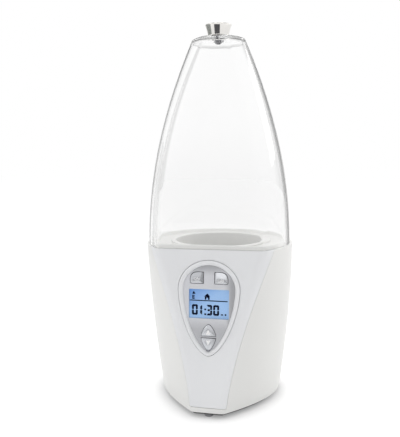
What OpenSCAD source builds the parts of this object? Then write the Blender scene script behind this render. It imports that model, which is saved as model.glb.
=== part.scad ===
// Bottle warmer and steam sterilizer: a tapered white base with a leaning control front,
// a round water well with a heating plate, and a tall clear dome that lifts off by its knob.
// Millimetres. The front faces -Y, Z is up, the table is at z = 0.

/* [Body] */
// widest width of the base, just under the deck
body_w = 130.8; // [127:0.2:136]
// width of the base at its lower edge
foot_w = 109; // [104:1:113]
// height of the deck that the dome stands on
deck_z = 140; // [136:1:150]
// height of the lower edge of the white shell
skirt_z = 5; // [4.4:0.2:6]
// distance of the front face from the axis, at the deck
front_top_d = 49; // [48.5:0.1:51]
// distance of the front face from the axis, at the lower edge
front_low_d = 62.5; // [60:0.5:65]
// half width of the front face at the deck
crease_top = 45.8; // [44:0.2:48]
// half width of the front face at the lower edge
crease_low = 13.2; // [12.4:0.2:16]
// distance of the back from the axis, at the deck
back_top_d = 62.5; // [61:0.5:65]
// wall thickness of the white shell
shell_t = 2.5; // [2.2:0.1:2.7]
// gap of the parting line beside the front panel
seam_gap = 0.35; // [0.3:0.05:0.6]

/* [Dome] */
// height of the dome from the deck to the edge of its cap
dome_h = 176; // [160:1:200]
// distance of the dome's side from the edge of the base
dome_set = 2.2; // [1.8:0.1:2.4]
// distance of the dome's front and back from the edge of the base
dome_lead = 1; // [0.8:0.1:1.2]
// width of the dome at the edge of its cap
cap_w = 47.6; // [44:0.2:54]
// wall thickness of the clear dome
dome_t = 2.4; // [2.2:0.1:2.7]
// gap between the dome and the ridge that centres it
dome_gap = 0.8; // [0.5:0.1:1.2]

/* [Knob] */
// diameter of the knob at its top
knob_top_d = 23.4; // [21:0.2:26]
// diameter of the knob at its foot
knob_low_d = 18.4; // [16:0.2:19]
// height of the knob
knob_h = 9.4; // [9:0.2:13]
// radius of the stud that holds the knob
stud_r = 1.5; // [1.3:0.1:1.7]

/* [Well] */
// inner radius of the well at its rim
well_r = 40; // [38.4:0.2:40.6]
// inner radius of the well at its floor
well_low_r = 37.5; // [36.6:0.1:38]
// height of the well's floor above the table
well_floor_z = 71; // [68:0.5:76]
// distance of the well's centre behind the front face, at the deck
well_set = 53; // [52:0.5:54]
// wall thickness of the well
well_t = 1.8; // [1.6:0.1:2]

/* [Control face] */
// width of the teardrop bezel
face_w = 52; // [50:0.5:54]
// height of the bezel above its widest line
face_up = 24.5; // [24:0.1:25]
// length of the bezel below its widest line
face_down = 55; // [53:0.5:57]
// width of the bezel ring
ring_w = 4.2; // [3.8:0.1:4.4]
// width of the display window
lcd_w = 33.8; // [30:0.2:34]
// height of the display window
lcd_h = 24.4; // [22:0.2:24.6]
// how far each key can be pressed
key_travel = 1; // [0.6:0.1:1]
// gap around each key
key_gap = 0.4; // [0.3:0.05:0.5]
// gap between loose curved faces
gap = 0.4; // [0.3:0.05:0.5]

/* [Hidden] */
eps = 0.01;
side_n = 8;
back_n = 8;
back_pow = 2.2;
hip_y = -25;
back_lean = 6.5;
crease_bend = 1.36;
base_bend = 1.7;
dome_bend = 1.95;
seam_low = 2.8;
seam_top = 12.3;
seam_bend = 2.2;
cap_flat = 0.44;
back_low_d = back_top_d - back_lean;
well_y = well_set - front_top_d;
cover_low_z = 2.6;
cover_top_z = skirt_z + 1.5;
lip_z = skirt_z + 4;
tilt = atan((front_low_d - front_top_d) / (deck_z - skirt_z));
face_y = (deck_z - 33) / cos(tilt);
plate_back = -2.6;
plate_front = -0.6;
board_front = -8.2;
board_back = -9.6;
cap_z = deck_z + dome_h;
cap_top_z = cap_z + 3.6;
cap_in_z = cap_z + 0.2;
knob_z = cap_top_z + 0.8;
base_zs = [for (u = [0, 0.09, 0.2, 0.34, 0.5, 0.66, 0.82, 0.93, 1]) lip_z + (deck_z - lip_z) * u];
dome_vs = [0, 0.07, 0.16, 0.26, 0.36, 0.47, 0.58, 0.68, 0.77, 0.85, 0.92, 0.97, 1];

white = [0.93, 0.93, 0.92];
silver = [0.72, 0.73, 0.75];
steel = [0.78, 0.78, 0.8];
dark = [0.12, 0.12, 0.13];
clear = [0.85, 0.9, 0.93, 0.35];

function mix(a, b, t) = a + (b - a) * t;
function clip(u) = min(1, max(0, u));
function base_u(z) = (z - skirt_z) / (deck_z - skirt_z);
function dome_v(z) = clip((z - deck_z) / dome_h);

// A section is [crease half width, front distance, half width, hip, widest line, back distance].
function base_half(z) = mix(foot_w / 2, body_w / 2, 1 - pow(1 - clip(base_u(z)), base_bend));
function base_section(z, t = 0) = [
    mix(crease_low, crease_top, pow(clip(base_u(z)), crease_bend)) - 0.47 * t,
    mix(front_low_d, front_top_d, base_u(z)) - t,
    base_half(z) - t,
    hip_y,
    6 * (1 - clip(base_u(z))),
    mix(back_low_d, back_top_d, base_u(z)) - t];
dome_low = body_w / 2 - dome_set;
function dome_half(z) = mix(dome_low, cap_w / 2, pow(dome_v(z), dome_bend));
function dome_section(z, t = 0) =
    let (s = dome_half(z), v = dome_v(z), k = s / dome_low)
    [s * mix(crease_top / dome_low, cap_flat, pow(v, 4)) - 0.47 * t,
    k * (front_top_d - dome_lead) * (1 + 0.06 * pow(v, 4)) - t,
    s - t,
    hip_y * k,
    0,
    k * (back_top_d - dome_lead) * (1 + 0.03 * v) - t];

function side_at(p, t) =
    (1 - t) * (1 - t) * [p[0], -p[1]] + 2 * t * (1 - t) * [p[2], p[3]] + t * t * [p[2], p[4]];
function back_at(p, a) = [p[2] * pow(cos(a), 2 / back_pow), p[4] + (p[5] - p[4]) * pow(sin(a), 2 / back_pow)];
function right_half(p, u) = concat(
    [for (i = [0:side_n]) side_at(p, u + (1 - u) * i / side_n)],
    [for (i = [1:back_n]) back_at(p, 90 * i / back_n)]);
function around(h) = concat(h, [for (i = [len(h) - 2:-1:0]) [-h[i][0], h[i][1]]]);
function outline(p) = around(right_half(p, 0));
function lift(q, z) = [for (a = q) [a[0], a[1], z]];
function seam_u(z, arc) = let (p = base_section(z)) arc / (2 * norm([p[2] - p[0], p[3] + p[1]]));
function seam_arc(z) = mix(seam_low, seam_top, pow(clip(base_u(z)), seam_bend));

// A wall between two stacks of loops, closed around or open at both ends.
module wall(o, n, closed) {
    L = len(o);
    M = len(o[0]);
    last = closed ? M - 1 : M - 2;
    function ix(k, l, i) = k * L * M + l * M + (i % M);
    polyhedron(
        points = concat([for (l = o) for (q = l) q], [for (l = n) for (q = l) q]),
        faces = concat(
            [for (l = [0:L - 2]) for (i = [0:last]) [ix(0, l, i), ix(0, l + 1, i), ix(0, l + 1, i + 1)]],
            [for (l = [0:L - 2]) for (i = [0:last]) [ix(0, l, i), ix(0, l + 1, i + 1), ix(0, l, i + 1)]],
            [for (l = [0:L - 2]) for (i = [0:last]) [ix(1, l, i), ix(1, l + 1, i + 1), ix(1, l + 1, i)]],
            [for (l = [0:L - 2]) for (i = [0:last]) [ix(1, l, i), ix(1, l, i + 1), ix(1, l + 1, i + 1)]],
            [for (i = [0:last]) [ix(0, 0, i), ix(0, 0, i + 1), ix(1, 0, i + 1), ix(1, 0, i)]],
            [for (i = [0:last]) [ix(0, L - 1, i), ix(1, L - 1, i), ix(1, L - 1, i + 1), ix(0, L - 1, i + 1)]],
            closed ? [] : [for (l = [0:L - 2]) [ix(1, l, 0), ix(1, l + 1, 0), ix(0, l + 1, 0)]],
            closed ? [] : [for (l = [0:L - 2]) [ix(1, l, 0), ix(0, l + 1, 0), ix(0, l, 0)]],
            closed ? [] : [for (l = [0:L - 2]) [ix(0, l, M - 1), ix(0, l + 1, M - 1), ix(1, l + 1, M - 1)]],
            closed ? [] : [for (l = [0:L - 2]) [ix(0, l, M - 1), ix(1, l + 1, M - 1), ix(1, l, M - 1)]]));
}

// A solid through a stack of flat loops.
module stack(o) {
    L = len(o);
    M = len(o[0]);
    function ix(l, i) = l * M + (i % M);
    polyhedron(
        points = [for (l = o) for (q = l) q],
        faces = concat(
            [for (l = [0:L - 2]) for (i = [0:M - 1]) [ix(l, i), ix(l + 1, i), ix(l + 1, i + 1)]],
            [for (l = [0:L - 2]) for (i = [0:M - 1]) [ix(l, i), ix(l + 1, i + 1), ix(l, i + 1)]],
            [[for (i = [0:M - 1]) i]],
            [[for (i = [M - 1:-1:0]) ix(L - 1, i)]]));
}

// The bent wall of the base from the right seam, around the back, to the left seam.
function shell_arc(z, t) = lift(around(right_half(base_section(z, t), seam_u(z, seam_arc(z) + seam_gap))), z);
function panel_arc(z, t) =
    let (p = base_section(z, t), s = side_at(p, seam_u(z, seam_arc(z))))
    lift([[-s[0], s[1]], [-p[0], -p[1]], [p[0], -p[1]], s], z);

boss_front = [26, -30];
boss_back = [33, 34];
boss_r = 4;
boss_bore_r = 1.5;
boss_h = 16;
boss_bore_h = 14;
boss_rib_t = 2.4;
boss_rib_h = 12;
boss_top_z = cover_top_z + boss_h;
base_screw_r = 1.1;

inlet_w = 22;
inlet_h = 13;
inlet_z = 18;
inlet_face_y = mix(back_low_d, back_top_d, base_u(inlet_z)) + 0.9;
inlet_depth = 19;

// Ribs that tie the screw bosses to the wall, cut to length by the wall's own section.
module boss_ribs() {
    intersection() {
        translate([0, 0, cover_top_z]) linear_extrude(boss_rib_h)
            polygon(outline(base_section(cover_top_z, shell_t / 2)));
        for (x = [-1, 1]) {
            translate([x * (boss_front[0] + body_w / 2), boss_front[1], cover_top_z + boss_rib_h / 2])
                cube([body_w, boss_rib_t, boss_rib_h], center = true);
            translate([x * boss_back[0] - boss_rib_t / 2, boss_back[1], cover_top_z])
                cube([boss_rib_t, body_w, boss_rib_h]);
        }
    }
}

module main_shell() {
    color(white) difference() {
        union() {
            wall([for (z = base_zs) shell_arc(z, 0)], [for (z = base_zs) shell_arc(z, shell_t)], false);
            wall([for (z = [skirt_z, lip_z]) lift(outline(base_section(z)), z)],
                [for (z = [skirt_z, lip_z]) lift(outline(base_section(z, shell_t)), z)], true);
            wall([for (z = [deck_z - 6, deck_z - 3]) shell_arc(z, shell_t / 2)],
                [for (z = [deck_z - 6, deck_z - 3]) shell_arc(z, shell_t + 3)], false);
            for (x = [-1, 1]) {
                translate([x * boss_front[0], boss_front[1], cover_top_z])
                    cylinder(r = boss_r, h = boss_top_z - cover_top_z, $fn = 32);
                translate([x * boss_back[0], boss_back[1], cover_top_z])
                    cylinder(r = boss_r, h = boss_top_z - cover_top_z, $fn = 32);
            }
            boss_ribs();
        }
        for (x = [-1, 1]) {
            translate([x * boss_front[0], boss_front[1], cover_top_z - 1])
                cylinder(r = boss_bore_r, h = boss_bore_h, $fn = 24);
            translate([x * boss_back[0], boss_back[1], cover_top_z - 1])
                cylinder(r = boss_bore_r, h = boss_bore_h, $fn = 24);
        }
        translate([-inlet_w / 2 - gap, 40, inlet_z - gap]) cube([inlet_w + 2 * gap, 40, inlet_h + 2 * gap]);
    }
}

// The frame of the leaning front face: local y runs up the face, local z points out of it.
module on_face() {
    translate([0, -mix(front_low_d, front_top_d, base_u(0)), 0]) rotate([90 - tilt, 0, 0]) children();
}

function tear(k) = concat(
    [for (a = [0:6:174]) [(face_w / 2 - k) * cos(a), face_y + (face_up - k) * sin(a)]],
    [for (a = [180:6:354]) [(face_w / 2 - k) * sign(cos(a)) * pow(abs(cos(a)), 1.21),
        face_y - (face_down - k) * pow(abs(sin(a)), 1.21)]]);

module tear_plate(k, z0, z1) {
    translate([0, 0, z0]) linear_extrude(z1 - z0) polygon(tear(k));
}

module tear_ring(k0, k1, z0, z1) {
    translate([0, 0, z0]) linear_extrude(z1 - z0) difference() {
        polygon(tear(k0));
        polygon(tear(k1));
    }
}

module front_panel() {
    color(white) difference() {
        wall([for (z = base_zs) panel_arc(z, 0)], [for (z = base_zs) panel_arc(z, shell_t)], false);
        on_face() tear_plate(1.9, -8, 8);
    }
}

module deck_ring() {
    color(white) difference() {
        union() {
            translate([0, 0, deck_z - 3]) linear_extrude(3)
                polygon(outline(base_section(deck_z - 3, shell_t + 0.5)));
            translate([0, 0, deck_z - 1]) linear_extrude(4.4) difference() {
                polygon(outline(dome_section(deck_z, dome_t + dome_gap)));
                polygon(outline(dome_section(deck_z, dome_t + dome_gap + 1.8)));
            }
        }
        translate([0, well_y, deck_z - 5]) cylinder(r = well_r + well_t + 0.5, h = 10, $fn = 96);
    }
}

well_out_r = well_r + well_t;
well_low_out_r = well_low_r + well_t;
clamp_x = well_low_r - 2.8;
neck_r = clamp_x - 4.4;
clamp_z = well_floor_z - 11;

module water_well() {
    color(white) translate([0, well_y, 0]) {
        rotate_extrude($fn = 96) polygon([
            [neck_r + 0.6, well_floor_z - 2],
            [well_low_out_r, well_floor_z - 2],
            [well_out_r, deck_z],
            [well_out_r + 2.7, deck_z],
            [well_out_r + 2.7, deck_z + 1],
            [well_out_r + 2.1, deck_z + 1.6],
            [well_r + 0.8, deck_z + 1.6],
            [well_r, deck_z + 0.8],
            [well_low_r, well_floor_z],
            [neck_r + 0.6, well_floor_z]]);
        for (x = [-1, 1]) translate([x * clamp_x, 0, clamp_z]) difference() {
            cylinder(r = 2.8, h = 9 + eps, $fn = 32);
            translate([0, 0, -1]) cylinder(r = 1.4, h = 8, $fn = 24);
        }
    }
}

module heating_plate() {
    color(steel) translate([0, well_y, 0]) {
        translate([0, 0, well_floor_z + 1]) cylinder(r = well_low_r - 0.8, h = 2, $fn = 96);
        translate([0, 0, well_floor_z - 5]) cylinder(r = neck_r, h = 6 + eps, $fn = 96);
    }
}

module plate_seal() {
    color(dark) translate([0, well_y, well_floor_z]) difference() {
        cylinder(r = well_low_r - 1.2, h = 1, $fn = 96);
        translate([0, 0, -1]) cylinder(r = neck_r + 1, h = 3, $fn = 96);
    }
}

module heater_ring() {
    color([0.62, 0.55, 0.45]) translate([0, well_y, clamp_z]) difference() {
        cylinder(r = neck_r - 2, h = 6, $fn = 64);
        translate([0, 0, -1]) cylinder(r = 14, h = 8, $fn = 64);
    }
}

module heater_clamp() {
    color(steel) translate([0, well_y, clamp_z - 2]) difference() {
        translate([-clamp_x - 5, -7, 0]) cube([2 * clamp_x + 10, 14, 2]);
        for (x = [-1, 1]) translate([x * clamp_x, 0, -1]) cylinder(r = 1.5, h = 4, $fn = 24);
    }
}

module clamp_screws() {
    color(silver) for (x = [-1, 1]) translate([x * clamp_x, well_y, clamp_z - 3.6]) {
        cylinder(r = 2.6, h = 1.6, $fn = 24);
        cylinder(r = 1, h = 7.6, $fn = 24);
    }
}

module thermal_fuse() {
    color([0.8, 0.78, 0.7]) translate([12, well_y - 3, clamp_z - 6]) cube([13, 6, 4]);
}

module temperature_sensor() {
    color([0.55, 0.4, 0.25]) translate([0, well_y, clamp_z]) cylinder(r = 3.4, h = 6, $fn = 32);
}

post_at = [[26, -14], [26, 24]];
foot_set = 7;
foot_front_y = foot_set - front_low_d;
foot_back = [30, 18];

module base_cover() {
    color(dark) difference() {
        union() {
            translate([0, 0, cover_low_z]) linear_extrude(cover_top_z - cover_low_z)
                polygon(outline(base_section(skirt_z, shell_t + 0.6)));
            for (p = post_at) for (x = [-1, 1]) translate([x * p[0], p[1], cover_top_z - 1])
                cylinder(r = 2.8, h = 6.5, $fn = 32);
            translate([-12, inlet_face_y - inlet_depth, cover_top_z - 1])
                cube([24, 14, inlet_z - cover_top_z + 1]);
        }
        for (p = post_at) for (x = [-1, 1]) translate([x * p[0], p[1], cover_top_z])
            cylinder(r = 1.5, h = 7, $fn = 24);
        for (x = [-1, 1]) for (p = [boss_front, boss_back]) translate([x * p[0], p[1], 0]) {
            cylinder(r = 1.6, h = 20, $fn = 24);
            cylinder(r = 3.2, h = cover_low_z + 1.9, $fn = 32);
        }
        translate([0, foot_front_y, 0]) cylinder(r = 2.7, h = 20, $fn = 32);
        for (x = [-1, 1]) translate([x * foot_back[0], foot_back[1], 0]) cylinder(r = 2.7, h = 20, $fn = 32);
    }
}

module foot() {
    color([0.08, 0.08, 0.08]) {
        cylinder(r1 = 3.6, r2 = 4.2, h = cover_low_z, $fn = 40);
        cylinder(r = 2.3, h = cover_top_z, $fn = 32);
    }
}

module front_foot() {
    translate([0, foot_front_y, 0]) foot();
}

module left_foot() {
    translate([-foot_back[0], foot_back[1], 0]) foot();
}

module right_foot() {
    translate([foot_back[0], foot_back[1], 0]) foot();
}

module base_screws() {
    color(silver) for (x = [-1, 1]) for (p = [boss_front, boss_back])
        translate([x * p[0], p[1], cover_low_z + 0.1]) {
            cylinder(r = 2.7, h = 1.8, $fn = 24);
            cylinder(r = base_screw_r, h = 13, $fn = 24);
        }
}

key_x0 = 4.4;
key_x1 = 16.2;
key_low = 4.8;
key_high = 15;
lcd_drop = 11.8;
lcd_y = face_y - lcd_drop;
split_y = face_y - 39.2;
split_half = 0.6;
key_t = 2.9;
key_wing = 0.75;
wing_y = 8;
wing_h = 4;
post_r = 2;
post_bore_r = 1.2;
post_top_y = 10.2;
post_low_x = 9.8;
post_low_y = 29;
post_spots = [[0, face_y + post_top_y],
    [-post_low_x, face_y - post_low_y],
    [post_low_x, face_y - post_low_y]];
lcd_edge = 1.2;
lcd_fit = 0.3;
window_t = 1.7;
glass_t = 1.6;
glass_back = plate_back - lcd_edge - glass_t;

// Outline of the right upper key, with its outer top corner rounded, drawn in by k.
function key_pts(k) = concat(
    [[key_x0 + k, face_y + key_low + k], [key_x1 - k, face_y + key_low + k]],
    [for (a = [0:15:90]) [key_x1 - 6 + (6 - k) * cos(a), face_y + key_high - 6 + (6 - k) * sin(a)]],
    [[key_x0 + k, face_y + key_high - k]]);
ring_h = 1.4;
ring_in = 2.4;
ledge_w = 1.3;
ledge_low = -4;

// Outline of an arrow key that rises from its straight side to a tip, drawn in by k.
function arrow_pts(h, e, k) = [for (a = [0:10:180])
    [(6.5 - k) * sign(cos(a)) * pow(abs(cos(a)), e), k + (h - 2 * k) * pow(sin(a), e)]];

up_h = 10.2;
down_h = 11.4;

// Room in the bezel's ledge for the window's flange, the wings of the upper keys and the down key.
module ledge_room() {
    square_w = lcd_w + 2 * (lcd_edge + gap);
    square_h = lcd_h + 2 * (lcd_edge + gap);
    translate([-square_w / 2, lcd_y - square_h / 2]) square([square_w, square_h]);
    for (m = [0, 1]) mirror([m, 0]) translate([key_x0 - key_wing - gap, face_y + wing_y - gap])
        square([key_x1 - key_x0 + 2 * (key_wing + gap), wing_h + 2 * gap]);
    translate([0, split_y - split_half]) mirror([0, 1]) polygon(arrow_pts(down_h, 1.4, 0));
}

module bezel_ring() {
    color(white) on_face() {
        tear_ring(0, ring_w, 0, ring_h);
        tear_ring(ring_in, ring_w, plate_back - eps, eps);
        translate([0, 0, ledge_low]) linear_extrude(plate_back - ledge_low) difference() {
            polygon(tear(ring_in));
            polygon(tear(ring_w + ledge_w));
            ledge_room();
        }
    }
}

module control_plate() {
    color(silver) on_face() difference() {
        union() {
            tear_plate(ring_w + 0.45, plate_back, plate_front);
            for (q = post_spots) translate([q[0], q[1], board_front])
                cylinder(r = post_r, h = plate_back - board_front + eps, $fn = 32);
        }
        translate([-lcd_w / 2, lcd_y - lcd_h / 2, -5]) cube([lcd_w, lcd_h, 10]);
        for (m = [0, 1]) mirror([m, 0, 0]) translate([0, 0, -5]) linear_extrude(10) polygon(key_pts(0));
        translate([0, split_y + split_half, -5]) linear_extrude(10) polygon(arrow_pts(up_h, 1.3, 0));
        translate([0, split_y - split_half, -5]) mirror([0, 1, 0]) linear_extrude(10)
            polygon(arrow_pts(down_h, 1.4, 0));
        for (q = post_spots) translate([q[0], q[1], board_front - 1])
            cylinder(r = post_bore_r, h = plate_back - board_front + 0.4, $fn = 24);
    }
}

module lcd_window() {
    color(clear) on_face() translate([0, lcd_y, 0]) {
        translate([-lcd_w / 2 + lcd_fit, -lcd_h / 2 + lcd_fit, plate_back - eps])
            cube([lcd_w - 2 * lcd_fit, lcd_h - 2 * lcd_fit, window_t]);
        translate([-lcd_w / 2 - lcd_edge, -lcd_h / 2 - lcd_edge, plate_back - lcd_edge])
            cube([lcd_w + 2 * lcd_edge, lcd_h + 2 * lcd_edge, lcd_edge]);
    }
}

module lcd_glass() {
    color([0.1, 0.25, 0.8]) on_face()
        translate([-lcd_w / 2 - lcd_edge, lcd_y - lcd_h / 2 - lcd_edge, glass_back])
            cube([lcd_w + 2 * lcd_edge, lcd_h + 2 * lcd_edge, glass_t]);
}

module lcd_backlight() {
    color([0.9, 0.92, 0.95]) on_face()
        translate([-lcd_w / 2 - lcd_edge, lcd_y - lcd_h / 2 - lcd_edge, board_front])
            cube([lcd_w + 2 * lcd_edge, lcd_h + 2 * lcd_edge, glass_back - board_front]);
}

switch_at = [[-10.3, 9.9], [10.3, 9.9], [0, -34.6], [0, -43.6]];

display_board_w = lcd_w + 5.6;
display_board_up = face_up - 8.5;
display_board_down = face_down - 5;
board_bore_r = 1.3;
board_screw_r = 0.8;
board_screw_h = 6;
board_head_h = 1.4;

module display_board() {
    color([0.1, 0.35, 0.18]) on_face() difference() {
        translate([-display_board_w / 2, face_y - display_board_down, board_back])
            cube([display_board_w, display_board_up + display_board_down, board_front - board_back]);
        for (q = post_spots) translate([q[0], q[1], board_back - 1])
            cylinder(r = board_bore_r, h = board_front - board_back + 2, $fn = 24);
    }
}

module board_screws() {
    color(silver) on_face() for (q = post_spots) translate([q[0], q[1], board_back - board_head_h]) {
        cylinder(r = post_r, h = board_head_h, $fn = 24);
        cylinder(r = board_screw_r, h = board_screw_h, $fn = 24);
    }
}

module tact_switches() {
    color(dark) on_face() for (q = switch_at) translate([q[0], face_y + q[1], board_front]) {
        translate([-3, -3, 0]) cube([6, 6, 2.3]);
        cylinder(r = 1.6, h = 2.7, $fn = 24);
    }
}

stem_low = board_front + 2.7 + 1.1;

module key_stem() {
    translate([0, 0, stem_low]) cylinder(r = 1.5, h = plate_back - 1.1 - stem_low + eps, $fn = 24);
}

module round_key() {
    translate([0, 0, plate_back - eps]) linear_extrude(key_t) polygon(key_pts(key_gap));
    translate([key_x0 - key_wing, face_y + wing_y, plate_back - 1.1])
        cube([key_x1 - key_x0 + 2 * key_wing, wing_h, 1.1]);
    translate([key_x0 + 1, face_y + key_low + 1, plate_back - 1.1]) cube([7, 8, 1.1]);
    translate([switch_at[1][0], face_y + switch_at[1][1], 0]) key_stem();
}

module on_button() {
    color(silver) on_face() mirror([1, 0, 0]) round_key();
}

module off_button() {
    color(silver) on_face() round_key();
}

module up_button() {
    color(silver) on_face() {
        translate([0, split_y + split_half, plate_back - eps]) linear_extrude(key_t)
            polygon(arrow_pts(up_h, 1.3, key_gap));
        translate([-7.8, split_y + 1.4, plate_back - 1.1]) cube([15.6, 3, 1.1]);
        translate([-2, split_y + 1.4, plate_back - 1.1]) cube([4, 5, 1.1]);
        translate([0, face_y + switch_at[2][1], 0]) key_stem();
    }
}

module down_button() {
    color(silver) on_face() {
        translate([0, split_y - split_half, plate_back - eps]) mirror([0, 1, 0]) linear_extrude(key_t)
            polygon(arrow_pts(down_h, 1.4, key_gap));
        translate([-7.4, split_y - 3, plate_back - 1.1]) cube([14.8, 1.6, 1.1]);
        translate([-2, split_y - 6.4, plate_back - 1.1]) cube([4, 5, 1.1]);
        translate([0, face_y + switch_at[3][1], 0]) key_stem();
    }
}

board_z = cover_top_z + 5.5;
power_board_w = 60;
power_board_d = 46;
power_board_y = -18;
power_board_t = 1.6;
parts_z = board_z + power_board_t;
transformer_at = [-22, -6];
transformer_size = [24, 20, 18];
relay_at = [7, 2];
relay_size = [11, 19, 15];
capacitor_at = [12, -8];
capacitor_r = 5;
capacitor_h = 17;
buzzer_at = [-12, 21];
buzzer_r = 5.5;
buzzer_h = 8;

module power_board() {
    color([0.55, 0.42, 0.2]) difference() {
        translate([-power_board_w / 2, power_board_y, board_z])
            cube([power_board_w, power_board_d, power_board_t]);
        for (p = post_at) for (x = [-1, 1]) translate([x * p[0], p[1], board_z - 1])
            cylinder(r = 1.6, h = 4, $fn = 24);
    }
}

module power_board_screws() {
    color(silver) for (p = post_at) for (x = [-1, 1]) translate([x * p[0], p[1], board_z - 4]) {
        translate([0, 0, 4 + power_board_t]) cylinder(r = 2.4, h = 1.5, $fn = 24);
        cylinder(r = 1.1, h = 4.4 + power_board_t, $fn = 24);
    }
}

module transformer() {
    color([0.85, 0.75, 0.2]) translate([transformer_at[0], transformer_at[1], parts_z])
        cube(transformer_size);
}

module capacitor() {
    color([0.15, 0.15, 0.3]) translate([capacitor_at[0], capacitor_at[1], parts_z])
        cylinder(r = capacitor_r, h = capacitor_h, $fn = 40);
}

module relay() {
    color([0.1, 0.2, 0.45]) translate([relay_at[0], relay_at[1], parts_z]) cube(relay_size);
}

module buzzer() {
    color(dark) translate([buzzer_at[0], buzzer_at[1], parts_z]) difference() {
        cylinder(r = buzzer_r, h = buzzer_h, $fn = 40);
        translate([0, 0, buzzer_h - 2]) cylinder(r = 1, h = 4, $fn = 24);
    }
}

socket_z = inlet_z + inlet_h / 2;
socket_d = 11;
pin_x = 4.3;

module power_inlet() {
    color(dark) difference() {
        translate([-inlet_w / 2, inlet_face_y - inlet_depth, inlet_z]) cube([inlet_w, inlet_depth, inlet_h]);
        for (x = [-1, 1]) translate([x * pin_x, inlet_face_y - socket_d, socket_z]) rotate([-90, 0, 0])
            cylinder(r = 4.4, h = 20, $fn = 40);
        translate([-pin_x, inlet_face_y - socket_d, socket_z - 4.1]) cube([2 * pin_x, 20, 8.2]);
    }
}

module inlet_pins() {
    color([0.8, 0.68, 0.35]) for (x = [-1, 1])
        translate([x * pin_x, inlet_face_y - socket_d, socket_z]) rotate([-90, 0, 0])
            cylinder(r = 1.2, h = 8.4, $fn = 24);
}

function scaled(q, k) = [for (a = q) [a[0] * k, a[1] * k]];
cap_loop = outline(dome_section(cap_z));
cap_in_loop = outline(dome_section(cap_z, dome_t));

module dome_cover() {
    color(clear) difference() {
        stack(concat(
            [for (v = dome_vs) let (z = deck_z + dome_h * v) lift(outline(dome_section(z)), z)],
            [lift(scaled(cap_loop, 0.975), cap_z + 1.1),
            lift(scaled(cap_loop, 0.92), cap_z + 1.9),
            lift(scaled(cap_loop, 0.7), cap_z + 2.9),
            lift(scaled(cap_loop, 0.45), cap_top_z)]));
        stack(concat(
            [lift(outline(dome_section(deck_z, dome_t)), deck_z - 1)],
            [for (v = [for (i = [1:len(dome_vs) - 2]) dome_vs[i]]) let (z = deck_z + dome_h * v)
                lift(outline(dome_section(z, dome_t)), z)],
            [lift(scaled(cap_in_loop, 0.95), cap_z - 1.6), lift(scaled(cap_in_loop, 0.8), cap_in_z)]));
        translate([0, 0, cap_z - 10]) cylinder(r = stud_r + 0.6, h = 20, $fn = 32);
    }
}

module knob() {
    color([0.85, 0.85, 0.87]) translate([0, 0, knob_z]) difference() {
        rotate_extrude($fn = 96) polygon([
            [0, 0],
            [knob_low_d / 2 - 0.6, 0],
            [knob_low_d / 2, 0.6],
            [knob_low_d / 2 + 0.25, 1.6],
            [knob_top_d / 2 - 0.2, knob_h - 1.2],
            [knob_top_d / 2, knob_h - 0.5],
            [knob_top_d / 2 - 0.6, knob_h],
            [0, knob_h]]);
        translate([0, 0, -1]) cylinder(r = stud_r + gap, h = knob_h - 1, $fn = 32);
    }
}

module knob_seal() {
    color(dark) translate([0, 0, cap_top_z]) difference() {
        cylinder(r = 7, h = 0.8, $fn = 64);
        translate([0, 0, -1]) cylinder(r = stud_r + 0.8, h = 3, $fn = 32);
    }
}

washer_r = 5.6;
washer_t = 0.8;
nut_r = 2.8;
nut_h = 1.8;
stud_below = washer_t + nut_h + 0.6;

module knob_stud() {
    color(steel) translate([0, 0, cap_in_z - stud_below])
        cylinder(r = stud_r, h = knob_z + knob_h - 2 - cap_in_z + stud_below, $fn = 32);
}

module knob_washer() {
    color(steel) translate([0, 0, cap_in_z - washer_t]) difference() {
        cylinder(r = washer_r, h = washer_t, $fn = 64);
        translate([0, 0, -1]) cylinder(r = stud_r + gap, h = 4, $fn = 32);
    }
}

module knob_nut() {
    color(steel) translate([0, 0, cap_in_z - washer_t - nut_h]) difference() {
        cylinder(r = nut_r, h = nut_h, $fn = 6);
        translate([0, 0, -1]) cylinder(r = stud_r + 0.3, h = 6, $fn = 32);
    }
}

main_shell();
front_panel();
deck_ring();
water_well();
heating_plate();
plate_seal();
heater_ring();
heater_clamp();
clamp_screws();
thermal_fuse();
temperature_sensor();
base_cover();
front_foot();
left_foot();
right_foot();
base_screws();
bezel_ring();
control_plate();
lcd_window();
lcd_glass();
lcd_backlight();
display_board();
board_screws();
tact_switches();
on_button();
off_button();
up_button();
down_button();
power_board();
power_board_screws();
transformer();
capacitor();
relay();
buzzer();
power_inlet();
inlet_pins();
dome_cover();
knob();
knob_seal();
knob_stud();
knob_washer();
knob_nut();
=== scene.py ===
# %% [markdown]
# # A bottle warmer and steam sterilizer
# The object is a white tapered base with a leaning control front, and a tall clear dome that lifts off by a
# metal knob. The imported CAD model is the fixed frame: it says where every part is and how it moves. This
# lesson dresses that frame: it rebuilds the parts that show with finer curves and gives each one a finish.

# %% Load the frame
import math

import bmesh
import bpy
from mathutils import Matrix, Vector
from mathutils.bvhtree import BVHTree


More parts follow.
